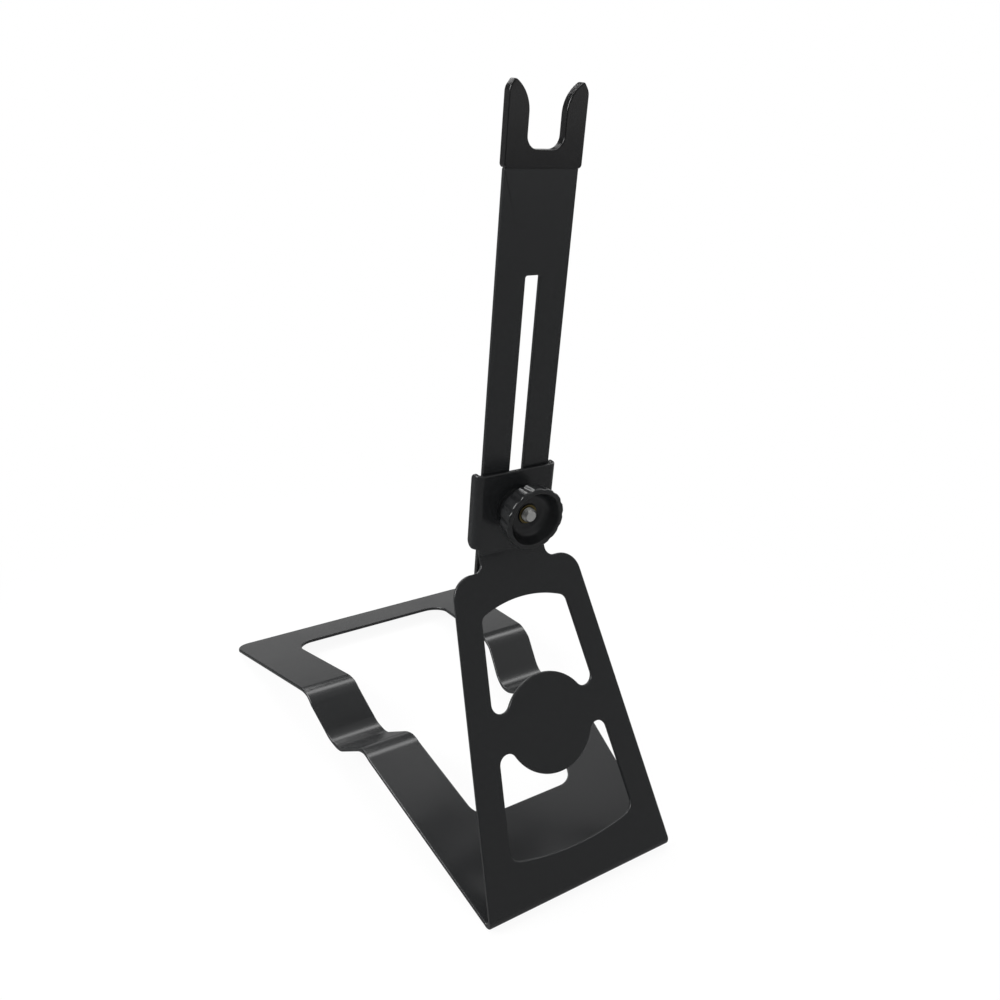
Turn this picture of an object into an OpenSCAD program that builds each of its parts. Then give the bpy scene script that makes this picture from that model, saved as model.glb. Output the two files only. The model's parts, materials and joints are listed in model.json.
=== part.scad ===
// Bike display stand. One folded steel sheet makes the leaning front plate, the bracket and the
// base with its wheel trough. A slotted post with a moulded fork cap slides in the bracket, and a
// hand knob on a carriage bolt clamps it at the height of the rear axle.
// Millimetres. The floor is z = 0, x = 0 is the middle, and y = 0 is the middle of the footprint.
// The front plate faces -y. Lengths along the sheet are measured at the middle of its thickness.

/* [Sheet] */
// Thickness of the frame's sheet
sheet_t = 2.5; // [2:0.1:3]
// Inner radius of the fold on the floor and of the bend below the bracket
fold_r = 2; // [1.5:0.25:3]
// Inner radius of the soft bends in the base
bend_r = 9; // [6:0.5:11]

/* [Base] */
// Width across the fold on the floor
foot_w = 124; // [115:1:135]
// Width across the rear edge
rear_w = 197; // [185:1:210]
// Slope of the front ramp, in degrees
ramp_angle = 14; // [12:0.5:16]
// Length of the front ramp, from the fold to the first ridge
ramp_len = 124.5; // [118:0.5:130]
// Slope of the two sides of the wheel trough, in degrees
trough_angle = 35; // [31:0.5:37]
// Length of each side of the trough
trough_side = 40.3; // [38:0.1:44]
// Slope of the rear ramp, in degrees
rear_angle = 15.2; // [14:0.1:17]
// Width of the two side arms
arm_w = 34; // [28:0.5:36]
// Solid apron between the fold and the base window
apron_len = 55; // [45:1:65]
// Width of the strip behind the base window
rear_strip = 28; // [20:1:34]
// Radius of the base's rear corners
base_corner_r = 9; // [4:0.5:12]
// Radius of the base window's corners
window_corner_r = 12; // [4:0.5:14]

/* [Front plate] */
// Lean of the plate from upright, in degrees
plate_lean = 31; // [29:0.5:33]
// Length of the plate, from the fold to the bracket's bend
plate_len = 187.3; // [186:0.1:195]
// Length of the plate up to its shoulders
shoulder_len = 178; // [174:0.5:179]
// Width across the shoulders
shoulder_w = 81; // [74:1:90]
// Radius of the shoulders
shoulder_r = 10; // [4:0.5:12]
// Width of the neck between the shoulders and the bracket
neck_w = 42.6; // [40:0.1:43]
// Radius between the neck and the shoulders
neck_r = 5; // [3:0.5:6]
// Width of the rails beside the upper window
upper_rail_w = 15.4; // [14:0.2:18]
// Width of the rails beside the lower window
lower_rail_w = 16.8; // [14:0.2:18]
// Distance from the fold to the middle of the disc
disc_up = 88; // [84:0.5:92]
// Diameter of the disc between the windows
disc_d = 56; // [50:0.5:58]
// Radius of the windows' lobes beside the disc
lobe_r = 5.7; // [5:0.1:6.5]
// Distance from the fold to the lower window
sill_up = 19; // [16:0.5:26]
// Distance from the fold to the top of the upper window
lintel_up = 159.6; // [154:0.2:164]
// Radius of the lower window's bowed edge
sill_bow_r = 165; // [120:5:300]
// Radius of the upper window's arch
lintel_bow_r = 69; // [60:1:120]
// Radius of the lower window's bottom corners
sill_corner_r = 7; // [4:0.5:9]
// Radius of the upper window's top corners
lintel_corner_r = 5; // [3:0.5:7]

/* [Bracket] */
// Height of the bracket above its bend
bracket_h = 47.6; // [44:0.2:56]
// Depth of the folded guide flanges, from the bracket's front face
flange_depth = 8; // [7:0.5:12]
// Height of the flanges' lower edge above the bend
flange_up = 4; // [2:0.5:6]
// Inner radius of the flanges' bends
flange_bend_r = 1.5; // [1:0.25:2]
// Radius of the flanges' lower corners
flange_low_r = 4.5; // [2:0.5:6]
// Radius of the flanges' upper corners
flange_top_r = 3; // [1:0.5:4]
// Height of the bolt above the bend
bolt_up = 26.8; // [24:0.1:29]

/* [Height post] */
// Width of the post
post_w = 42; // [40:0.5:45]
// Thickness of the post
post_t = 2.5; // [2:0.1:3]
// Clearance between the post's edges and the guide flanges
guide_gap = 1.7; // [0.5:0.1:2]
// Clearance between the post's front face and the bracket
slide_gap = 0.15; // [0.1:0.05:0.4]
// Height of the post's lower end above the floor, at rest
post_z = 146; // [140:1:150]
// Length of the post up to the seat of the fork cap
post_len = 221; // [215:1:230]
// Distance from the post's lower end to the slot
slot_start = 18; // [14:1:24]
// Length of the slot
slot_len = 153.4; // [140:0.2:165]
// Radius of the post's lower corners
post_corner_r = 3; // [1:0.5:6]
// Radius of the slot's corners
slot_corner_r = 1; // [0.5:0.5:2]

/* [Fork cap] */
// Width of the cap
cap_w = 43.8; // [43.2:0.2:48]
// Wall of the cap in front of and behind the post
cap_wall = 1.25; // [1:0.05:2]
// Rim of the cap around the edge of the forked post
cap_rim = 1.5; // [1:0.1:2]
// Height of the prong tips above the cap's lower edge
cap_h = 37.5; // [34:0.5:42]
// Width of the axle notch
notch_w = 20.6; // [18:0.2:22]
// Height of the notch's floor above the cap's lower edge
notch_up = 8.3; // [7:0.1:10]
// Radius of the notch's lower corners
notch_r = 4.5; // [3:0.5:6]
// Radius of the curved lead-in above the notch
lead_r = 16; // [14:0.5:18]
// Height of the curved lead-in
lead_h = 14; // [12:0.5:14]
// Height of the slant at the prongs' outer corners
tip_drop = 3.8; // [3:0.2:5]
// Radius of the cap's lower corners
cap_corner_r = 2; // [1:0.5:3]
// Clearance between the cap and the forked post inside it
cap_gap = 0.1; // [0.05:0.05:0.2]

/* [Bolt and washer] */
// Diameter of the bolt
bolt_d = 8; // [8:1:8]
// Length of the bolt under its head
bolt_len = 19; // [18:0.5:22]
// Diameter of the bolt's domed head
head_d = 20.6; // [18:0.2:22]
// Height of the domed head
head_h = 4.6; // [4:0.1:5.5]
// Width of the square neck under the head
neck_sq = 8; // [7.8:0.1:8.2]
// Length of the square neck
neck_len = 4.5; // [4:0.1:5]
// Clearance on each side of the square neck, in the slot and in the bracket
neck_gap = 0.3; // [0.2:0.05:0.4]
// Chamfer at the bolt's free end
bolt_chamfer = 1; // [0.5:0.1:1.5]
// Outer diameter of the flat washer
washer_d = 20; // [18:0.5:24]
// Thickness of the flat washer
washer_t = 2; // [1.2:0.1:2.5]
// Radial clearance of the washer on the bolt
washer_gap = 0.2; // [0.15:0.05:0.4]

/* [Knob] */
// Diameter of the knob over its ridges
knob_d = 36; // [33:0.5:40]
// Height of the knob
knob_h = 17.6; // [16.5:0.2:20]
// Diameter of the boss at the knob's back
boss_d = 24; // [22:0.5:27]
// Height of the boss
boss_h = 5; // [4:0.5:6]
// Draft of the knob's outer wall, from its front edge to its back edge
wall_draft = 1.2; // [0.5:0.1:2]
// Width of the rim around the cup's mouth
rim_w = 3; // [2.6:0.1:4]
// Thickness of the cup's floor
cup_floor = 9; // [8.5:0.5:10]
// Diameter of the cup at its floor
cup_floor_d = 24; // [20:0.5:26]
// Rounding of the knob's edges
knob_edge_r = 0.8; // [0.5:0.1:1]
// Rounding between the boss and the knob's wall
skirt_r = 1.5; // [1:0.1:2]
// Rounding around the cup's floor
cup_r = 2; // [1:0.5:3]
// Number of grip flutes around the knob
flutes = 14; // [10:1:16]
// Radius of a grip flute
flute_r = 2; // [1.4:0.1:2.4]
// Depth of a grip flute at the rim
flute_depth = 1.3; // [0.8:0.1:1.6]
// Outer diameter of the threaded insert
insert_d = 11; // [10:0.5:13]
// Height of the insert's end above the cup's floor
insert_proud = 0.6; // [0.2:0.1:1]
// Radial clearance between the insert and the bolt
thread_gap = 0.05; // [0.03:0.01:0.1]

/* [Hidden] */
$fn = 96;
// Greatest distance of a drawn round from the true one
arc_sag = 0.01;
// Overlap of a cut past the surface that it cuts
over = 1;
// Step in each side of the neck, between the plate's trim and the bracket's
neck_step = 0.02;

// Fold on the floor, whose centre stands at y = 0 before the stand is centred
fold_mid_r = fold_r + sheet_t / 2;
fold_centre = [0, fold_r + sheet_t];
plate_angle = 90 - plate_lean;
fold_turn = 180 - plate_angle + ramp_angle;
ramp_start = fold_centre + fold_mid_r * [sin(ramp_angle), -cos(ramp_angle)];
plate_start = fold_centre + fold_mid_r * [-cos(plate_lean), sin(plate_lean)];
fold_corner = ramp_start - fold_mid_r * tan(fold_turn / 2) * direction(ramp_angle);

// Bend lines of the base, as [y, z] at the middle of the sheet
ridge_front = ramp_start + ramp_len * direction(ramp_angle);
trough_low = ridge_front + trough_side * direction(-trough_angle);
ridge_rear = trough_low + trough_side * direction(trough_angle);
rear_edge_z = sheet_t / 2 / cos(rear_angle);
rear_len = (ridge_rear.y - rear_edge_z) / sin(rear_angle);
rear_edge = ridge_rear + rear_len * direction(-rear_angle);

// Footprint, and the shift that centres it
front_y = -fold_centre.y;
rear_y = rear_edge.x;
mid_y = (front_y + rear_y) / 2;

// Bend lines seen from above: y, and the half width of the base there
bend_y = [ramp_start.x, ridge_front.x, trough_low.x, ridge_rear.x, rear_y];
bend_run = [
    0, ramp_len, ramp_len + trough_side, ramp_len + 2 * trough_side,
    ramp_len + 2 * trough_side + rear_len
];
base_flare = (rear_w - foot_w) / 2 / bend_run[4];
bend_half = [for (run = bend_run) foot_w / 2 + base_flare * run];

// Window of the base, seen from above
window_front = ramp_start.x + apron_len * cos(ramp_angle);
window_rear = rear_y - rear_strip * cos(rear_angle);
base_top = ridge_front.y + bend_r + sheet_t;

// Narrowing of the plate on each side, for each millimetre up from the fold
plate_slope = (foot_w - shoulder_w) / 2 / shoulder_len;
rail_angle = atan(plate_slope);

// Bracket
bracket_bend = plate_start + plate_len * direction(plate_angle);
bracket_mid_y = bracket_bend.x;
bracket_front_y = bracket_mid_y - sheet_t / 2;
bracket_rear_y = bracket_mid_y + sheet_t / 2;
bracket_low = bracket_bend.y + flange_up;
bracket_top = bracket_bend.y + bracket_h;
flange_half = post_w / 2 + guide_gap + sheet_t / 2;
bolt_z = bracket_bend.y + bolt_up;
neck_hole = neck_sq + 2 * neck_gap;

// Post and fork cap
post_rear_y = bracket_rear_y + slide_gap + post_t;
cap_z = post_z + post_len;
cap_t = post_t + 2 * cap_wall;
lead_centre = [notch_w / 2 + lead_r, cap_h - lead_h];

// Knob, washer and bolt, along an axis that starts at the bracket's front face and points forwards
head_seat = -(sheet_t + slide_gap + post_t);
head_sphere_r = (pow(head_d / 2, 2) + pow(head_h, 2)) / (2 * head_h);
knob_r = knob_d / 2;
insert_h = cup_floor + insert_proud;

// The folded sheet, from the rear edge forwards over the trough, round the fold and up the plate
sheet_path = [
    rear_edge + over * direction(-rear_angle), ridge_rear, trough_low, ridge_front, fold_corner,
    bracket_bend, [bracket_mid_y, bracket_low + over]
];
sheet_bends = [0, bend_r, bend_r, bend_r, fold_r, fold_r, 0];

coat_colour = "#26282a";
cap_colour = "#1e1f21";
knob_colour = "#222324";
zinc_colour = "#c9ccd0";
brass_colour = "#b59a54";

function direction(angle) = [cos(angle), sin(angle)];
function unit(v) = v / norm(v);
function heading(path, i) = atan2(path[i + 1].y - path[i].y, path[i + 1].x - path[i].x);
function reversed(list) = [for (i = [len(list) - 1 : -1 : 0]) list[i]];
function without_first(list) = [for (i = [1 : len(list) - 1]) list[i]];

// Angle brought to between -180 and 180 degrees
function wrapped(angle) = angle - 360 * round(angle / 360);

// Points of a round arc from one angle to another, as many as the arc's radius needs
function arc(centre, r, from, to) =
    let (steps = max(2, ceil(abs(to - from) / (2 * acos(1 - arc_sag / r)))))
    [for (k = [0 : steps]) centre + r * direction(from + (to - from) * k / steps)];

// Corner p between a and b, rounded to r
function corner(a, p, b, r) =
    let (
        u = unit(a - p),
        v = unit(b - p),
        half = acos(u * v) / 2,
        centre = p + unit(u + v) * r / sin(half),
        start = p + u * r / tan(half) - centre,
        end = p + v * r / tan(half) - centre,
        from = atan2(start.y, start.x)
    )
    arc(centre, r, from, from + wrapped(atan2(end.y, end.x) - from));

// Closed outline with each corner rounded to its own radius, where 0 leaves it sharp
function rounded(points, radii) = [
    for (i = [0 : len(points) - 1])
        let (n = len(points))
        each radii[i] == 0
            ? [points[i]]
            : corner(points[(i + n - 1) % n], points[i], points[(i + 1) % n], radii[i])
];

// The right half of an outline followed by its mirror image, with points on the middle kept once
function both_sides(right) = concat(
    right,
    [for (p = reversed(right)) if (p.x > arc_sag / 10) [-p.x, p.y]]
);
function both_sides_radii(right) = concat(right, reversed(right));

// One face of a sheet folded along a path, on its left where side is 1 and its right where -1
function sheet_face(path, bends, side) =
    let (last = len(path) - 1, lift = side * sheet_t / 2)
    concat(
        [path[0] + lift * direction(heading(path, 0) + 90)],
        [
            for (i = [1 : last - 1])
                let (
                    before = heading(path, i - 1),
                    turn = wrapped(heading(path, i) - before),
                    way = sign(turn),
                    mid_r = bends[i] + sheet_t / 2,
                    tangent = path[i] - mid_r * tan(abs(turn) / 2) * direction(before),
                    centre = tangent + way * mid_r * direction(before + 90),
                    from = before - way * 90
                )
                each arc(centre, mid_r - way * lift, from, from + turn)
        ],
        [path[last] + lift * direction(heading(path, last - 1) + 90)]
    );

// Section of a sheet folded along a path, with each bend a round of its inner radius
function sheet_section(path, bends) =
    concat(sheet_face(path, bends, 1), reversed(sheet_face(path, bends, -1)));

// Centre of a round that touches a plate window's rail and lies at a reach from [0, y].
// Up is 1 above that point and -1 below it.
function touching_rail(r, y, reach, rail_w, up) =
    let (
        spread = 1 + plate_slope * plate_slope,
        x = foot_w / 2 - rail_w - r * sqrt(spread) - plate_slope * y,
        rise = (x * plate_slope + up * sqrt(spread * reach * reach - x * x)) / spread
    )
    [x - plate_slope * rise, y + rise];

// Right half of a plate window: the disc's edge, the lobe, the rail, the corner and the bow
function window_half(up, crown, rail_w, bow_r, corner_r) =
    let (
        disc = [0, disc_up],
        lobe = touching_rail(lobe_r, disc_up, disc_d / 2 + lobe_r, rail_w, up),
        at_lobe = atan2(abs(lobe.y - disc_up), lobe.x),
        bow = [0, crown - up * bow_r],
        bow_corner = touching_rail(corner_r, bow.y, bow_r - corner_r, rail_w, up),
        at_corner = atan2(bow_corner.y - bow.y, bow_corner.x)
    )
    concat(
        arc(disc, disc_d / 2, up * 90, up * at_lobe),
        without_first(arc(lobe, lobe_r, 180 + up * at_lobe, rail_angle + (up > 0 ? 360 : 0))),
        arc(bow_corner, corner_r, rail_angle, at_corner),
        without_first(arc(bow, bow_r, at_corner, up * 90))
    );

// A section in the y-z plane, drawn out to a width about x = 0
module across(width) {
    rotate([90, 0, 90])
        linear_extrude(width, center = true)
            children();
}

// Everything is drawn with the fold's centre at y = 0 and then moved to the footprint's middle
module centred() {
    translate([0, -mid_y, 0])
        children();
}

// Flat work on the leaning plate, with y up the plate from the fold
module on_plate() {
    translate([0, plate_start.x, plate_start.y])
        rotate([plate_angle, 0, 0])
            children();
}

// Places a part on the bolt's axis, with z forwards from the bracket's front face
module on_bolt_axis() {
    translate([0, bracket_front_y, bolt_z])
        rotate([90, 0, 0])
            children();
}

// Flat work in the upright plane of the post, drawn forwards from its rear face
module on_post(rear_y, thickness) {
    translate([0, rear_y, 0])
        rotate([90, 0, 0])
            linear_extrude(thickness)
                children();
}

module base_outline() {
    right = [[bend_half[0], front_y - over], for (i = [0 : 4]) [bend_half[i], bend_y[i]]];
    polygon(rounded(both_sides(right), both_sides_radii([0, 0, 0, 0, 0, base_corner_r])));
}

module base_window() {
    inner = [for (i = [0 : 4]) [bend_y[i], bend_half[i] - arm_w]];
    right = [
        [lookup(window_front, inner), window_front],
        for (i = [1 : 3]) [inner[i].y, inner[i].x],
        [lookup(window_rear, inner), window_rear]
    ];
    polygon(rounded(
        both_sides(right),
        both_sides_radii([window_corner_r, 0, 0, 0, window_corner_r])
    ));
}

// What is trimmed from the base sheet, seen from above: outside its outline, and its window
module base_offcut() {
    translate([0, 0, -4 * over])
        linear_extrude(base_top + 4 * over) {
            difference() {
                translate([-rear_w, front_y - 4 * over])
                    square([2 * rear_w, rear_y - front_y + 8 * over]);
                base_outline();
            }
            base_window();
        }
}

// What is trimmed from the leaning plate: outside its outline, and its two windows
module plate_offcut() {
    right = [
        [foot_w / 2 + 2 * plate_slope * over, -2 * over], [shoulder_w / 2, shoulder_len],
        [neck_w / 2, shoulder_len], [neck_w / 2, plate_len + 2 * over]
    ];
    on_plate()
        linear_extrude(2 * sheet_t, center = true) {
            difference() {
                translate([-rear_w, -over])
                    square([2 * rear_w, plate_len + 2 * over]);
                polygon(rounded(both_sides(right), both_sides_radii([0, shoulder_r, neck_r, 0])));
            }
            polygon(both_sides(
                window_half(1, lintel_up, upper_rail_w, lintel_bow_r, lintel_corner_r)
            ));
            polygon(both_sides(
                window_half(-1, sill_up, lower_rail_w, sill_bow_r, sill_corner_r)
            ));
        }
}

// What is trimmed beside the neck, from the bend up
module neck_offcut() {
    for (side = [-1, 1])
        translate([side * (rear_w + neck_w / 2 + neck_step), bracket_mid_y, bracket_bend.y + flange_up])
            cube([2 * rear_w, 6 * sheet_t, 2 * flange_up], center = true);
}

// Bracket with its two flanges folded back to guide the post
module bracket_sheet() {
    flange_y = bracket_front_y + flange_depth;
    path = [
        [-flange_half, flange_y + over], [-flange_half, bracket_mid_y],
        [flange_half, bracket_mid_y], [flange_half, flange_y + over]
    ];
    intersection() {
        translate([0, 0, bracket_low - over])
            linear_extrude(bracket_top - bracket_low + 2 * over)
                polygon(sheet_section(path, [0, flange_bend_r, flange_bend_r, 0]));
        across(2 * post_w)
            polygon(rounded(
                [
                    [bracket_front_y - over, bracket_low], [flange_y, bracket_low],
                    [flange_y, bracket_top], [bracket_front_y - over, bracket_top]
                ],
                [0, flange_low_r, flange_top_r, 0]
            ));
    }
}

module stand_frame() {
    color(coat_colour)
        centred()
            difference() {
                union() {
                    difference() {
                        across(rear_w + 4 * over)
                            polygon(sheet_section(sheet_path, sheet_bends));
                        base_offcut();
                        plate_offcut();
                        neck_offcut();
                    }
                    bracket_sheet();
                }
                on_bolt_axis()
                    cube([neck_hole, neck_hole, 4 * sheet_t], center = true);
            }
}

// Outline of the cap above its lower edge. An inset draws every edge inwards, for the forked post
// inside the cap, whose prongs end flat below the slanted tips.
module fork_outline(inset) {
    half = cap_w / 2 - inset;
    round_r = notch_r - inset;
    tip_z = inset > 0 ? cap_h - tip_drop - inset : cap_h;
    tip_angle = asin((tip_z - lead_centre.y) / (lead_r - inset));
    foot = inset > 0
        ? [[half, -over]]
        : arc([half - cap_corner_r, cap_corner_r], cap_corner_r, -90, 0);
    polygon(both_sides(concat(
        foot,
        [[half, cap_h - tip_drop - inset]],
        arc(lead_centre, lead_r - inset, 180 - tip_angle, 180),
        arc([notch_w / 2 + inset - round_r, notch_up - inset + round_r], round_r, 0, -90)
    )));
}

// Upright rectangle about x = 0 with rounded corners: its two lower ones and its two upper ones
module upright(width, height, low_r, top_r) {
    polygon(rounded(
        [[width / 2, 0], [width / 2, height], [-width / 2, height], [-width / 2, 0]],
        [low_r, top_r, top_r, low_r]
    ));
}

module height_post() {
    color(coat_colour)
        centred()
            on_post(post_rear_y, post_t)
                translate([0, post_z])
                    difference() {
                        union() {
                            upright(post_w, post_len, post_corner_r, 0);
                            translate([0, post_len])
                                fork_outline(cap_rim + cap_gap);
                        }
                        translate([0, slot_start])
                            upright(neck_hole, slot_len, slot_corner_r, slot_corner_r);
                    }
}

module fork_cap() {
    color(cap_colour)
        centred()
            translate([0, 0, cap_z])
                difference() {
                    on_post(post_rear_y + cap_wall, cap_t)
                        fork_outline(0);
                    on_post(post_rear_y + cap_gap, post_t + 2 * cap_gap)
                        fork_outline(cap_rim);
                }
}

module clamp_bolt() {
    shank_r = bolt_d / 2;
    color(zinc_colour)
        centred()
            on_bolt_axis()
                translate([0, 0, head_seat]) {
                    rotate_extrude()
                        polygon([
                            [0, -over], [shank_r, -over], [shank_r, bolt_len - bolt_chamfer],
                            [shank_r - bolt_chamfer, bolt_len], [0, bolt_len]
                        ]);
                    translate([-neck_sq / 2, -neck_sq / 2, -over])
                        cube([neck_sq, neck_sq, neck_len + over]);
                    intersection() {
                        translate([0, 0, head_sphere_r - head_h])
                            sphere(r = head_sphere_r);
                        translate([0, 0, -head_h - over])
                            cylinder(r = head_d / 2 + over, h = head_h + over);
                    }
                }
}

module knob_washer() {
    color(zinc_colour)
        centred()
            on_bolt_axis()
                difference() {
                    cylinder(r = washer_d / 2, h = washer_t);
                    translate([0, 0, -over])
                        cylinder(r = bolt_d / 2 + washer_gap, h = washer_t + 2 * over);
                }
}

module knob_insert() {
    color(brass_colour)
        centred()
            on_bolt_axis()
                translate([0, 0, washer_t])
                    difference() {
                        cylinder(r = insert_d / 2, h = insert_h);
                        translate([0, 0, -over])
                            cylinder(r = bolt_d / 2 + thread_gap, h = insert_h + 2 * over);
                    }
}

// Half section of the knob: a boss at the back, a flared wall and a cup that is open in front
function knob_section() = rounded(
    [
        [insert_d / 2, 0], [boss_d / 2, 0], [boss_d / 2 + wall_draft / 2, boss_h],
        [knob_r - wall_draft, boss_h + 2 * wall_draft], [knob_r, knob_h], [knob_r - rim_w, knob_h],
        [cup_floor_d / 2, cup_floor], [insert_d / 2, cup_floor]
    ],
    [0, knob_edge_r, skirt_r, skirt_r, knob_edge_r, knob_edge_r, cup_r, 0]
);

module clamp_knob() {
    color(knob_colour)
        centred()
            on_bolt_axis()
                translate([0, 0, washer_t])
                    difference() {
                        rotate_extrude()
                            polygon(knob_section());
                        for (i = [0 : flutes - 1])
                            rotate(i * 360 / flutes)
                                translate([knob_r - flute_depth + flute_r, 0, boss_h])
                                    cylinder(r = flute_r, h = knob_h);
                    }
}

stand_frame();
height_post();
fork_cap();
clamp_bolt();
knob_washer();
knob_insert();
clamp_knob();
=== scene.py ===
"""Looks of the bike display stand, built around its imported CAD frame.

The folded sheet, the post, the washer and the insert start from the CAD's shape and get the soft
bends and rounded edges that they have once pressed, turned and coated. The fork cap, the knob and
the bolt are made here, with a hollow sleeve, finger lobes and a real thread.
"""

import json
import logging
import math
from collections.abc import Iterator, Sequence
from contextlib import contextmanager
from dataclasses import dataclass, field
from enum import Enum

import bmesh
import bpy
from mathutils import Matrix, Vector

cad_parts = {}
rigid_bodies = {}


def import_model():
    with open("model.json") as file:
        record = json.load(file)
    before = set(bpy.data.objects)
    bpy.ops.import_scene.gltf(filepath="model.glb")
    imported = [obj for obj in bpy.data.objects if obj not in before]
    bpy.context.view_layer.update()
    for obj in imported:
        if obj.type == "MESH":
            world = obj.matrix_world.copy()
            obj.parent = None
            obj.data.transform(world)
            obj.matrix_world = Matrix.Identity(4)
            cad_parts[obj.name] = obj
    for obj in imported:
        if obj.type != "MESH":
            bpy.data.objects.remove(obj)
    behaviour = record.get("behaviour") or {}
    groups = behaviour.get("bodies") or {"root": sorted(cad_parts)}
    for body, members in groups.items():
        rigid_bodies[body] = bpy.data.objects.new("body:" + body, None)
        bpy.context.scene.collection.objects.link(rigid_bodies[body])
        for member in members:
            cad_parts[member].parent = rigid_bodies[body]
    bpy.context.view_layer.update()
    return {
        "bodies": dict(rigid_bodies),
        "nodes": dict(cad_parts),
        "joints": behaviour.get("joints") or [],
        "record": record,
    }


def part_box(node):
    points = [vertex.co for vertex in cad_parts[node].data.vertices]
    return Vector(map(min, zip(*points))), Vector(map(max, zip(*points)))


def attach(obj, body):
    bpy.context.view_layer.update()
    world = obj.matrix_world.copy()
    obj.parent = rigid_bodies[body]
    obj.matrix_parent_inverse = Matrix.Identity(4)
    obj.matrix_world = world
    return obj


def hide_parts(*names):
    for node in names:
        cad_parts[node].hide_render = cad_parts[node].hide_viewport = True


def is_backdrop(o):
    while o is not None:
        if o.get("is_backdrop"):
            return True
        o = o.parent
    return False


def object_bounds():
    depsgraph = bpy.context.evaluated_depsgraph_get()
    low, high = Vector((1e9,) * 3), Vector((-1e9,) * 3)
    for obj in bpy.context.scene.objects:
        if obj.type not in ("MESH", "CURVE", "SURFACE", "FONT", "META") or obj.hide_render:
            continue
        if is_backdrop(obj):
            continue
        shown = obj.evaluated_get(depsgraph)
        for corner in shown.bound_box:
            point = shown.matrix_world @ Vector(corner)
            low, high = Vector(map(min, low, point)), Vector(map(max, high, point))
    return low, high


Point = tuple[float, float]
Triple = tuple[float, float, float]
Tree = bpy.types.NodeTree
Node = bpy.types.Node
Socket = bpy.types.NodeSocket
Material = bpy.types.Material
Piece = bpy.types.Object
Work = bmesh.types.BMesh

LOG = logging.getLogger("bike_display_stand")
MM = 0.001
# Faces within this angle of each other are one flat face
FLAT = math.radians(0.4)
# Two runs of an outline whose directions have this cosine are one line
STRAIGHT = 0.9999
# How far beside a bend and past its end a point still belongs to it
ON_BEND = 0.05 * MM
PAST_BEND = 0.002
# A wave texture of scale 1 repeats after this many metres
WAVE_PERIOD = 0.314
# Height that the lamps face
STAND_MIDDLE = 0.18
# Length of the CAD's bolt in front of its head's seat
DRAWN_BOLT = 19 * MM


class Body(str, Enum):
    """The moving bodies of the stand, as the record names them."""

    FRAME = "frame"
    POST = "post"
    WASHER = "washer"
    KNOB = "knob"


class Slot(str, Enum):
    """The material slots of the record."""

    COAT = "powder_coat"
    CAP = "cap_plastic"
    KNOB = "knob_plastic"
    ZINC = "zinc_steel"
    BRASS = "brass"


# --- finishes


def linear(colour: str) -> tuple[float, float, float, float]:
    """Turns an sRGB hex colour into Blender's linear colour.

    Args:
        colour: The colour, such as "#1b1c1d".

    Returns:
        Red, green, blue and an alpha of 1.
    """
    parts = [int(colour[i:i + 2], 16) / 255 for i in (1, 3, 5)]
    red, green, blue = [c / 12.92 if c <= 0.04045 else ((c + 0.055) / 1.055) ** 2.4 for c in parts]
    return red, green, blue, 1.0


def add_node(tree: Tree, kind: str, settings: dict[str, object] | None = None,
             values: dict[str | int, object] | None = None,
             links: dict[str | int, Socket] | None = None) -> Node:
    """Adds one node with its settings, its fixed inputs and its links.

    Args:
        tree: The tree that gets the node.
        kind: Blender's name of the node type.
        settings: Properties of the node.
        values: Fixed values of its input sockets, by name or number.
        links: Output sockets of other nodes, by the name or number of the input they go to.

    Returns:
        The new node.
    """
    node = tree.nodes.new(kind)
    for name, value in (settings or {}).items():
        setattr(node, name, value)
    for socket, value in (values or {}).items():
        node.inputs[socket].default_value = value
    for socket, source in (links or {}).items():
        tree.links.new(source, node.inputs[socket])
    return node


def noise(tree: Tree, place: Socket, size: float, detail: float = 3.0,
          roughness: float = 0.5) -> Socket:
    """Adds a cloudy pattern from 0 to 1, whose largest clouds have this size in metres."""
    values = {"Scale": 1 / size, "Detail": detail, "Roughness": roughness}
    return add_node(tree, "ShaderNodeTexNoise", values=values,
                    links={"Vector": place}).outputs["Fac"]


def relief(tree: Tree, height: Socket, strength: float, depth: float,
           under: Socket | None = None) -> Socket:
    """Adds the relief of a pattern.

    Args:
        tree: The material's tree.
        height: The pattern, from 0 to 1.
        strength: Share of the relief that shows.
        depth: Its depth, in metres.
        under: Another relief that it lies on.

    Returns:
        The normal of the surface with its relief.
    """
    links = {"Height": height} if under is None else {"Height": height, "Normal": under}
    bump = add_node(tree, "ShaderNodeBump", values={"Strength": strength, "Distance": depth}, links=links)
    return bump.outputs["Normal"]


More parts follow.
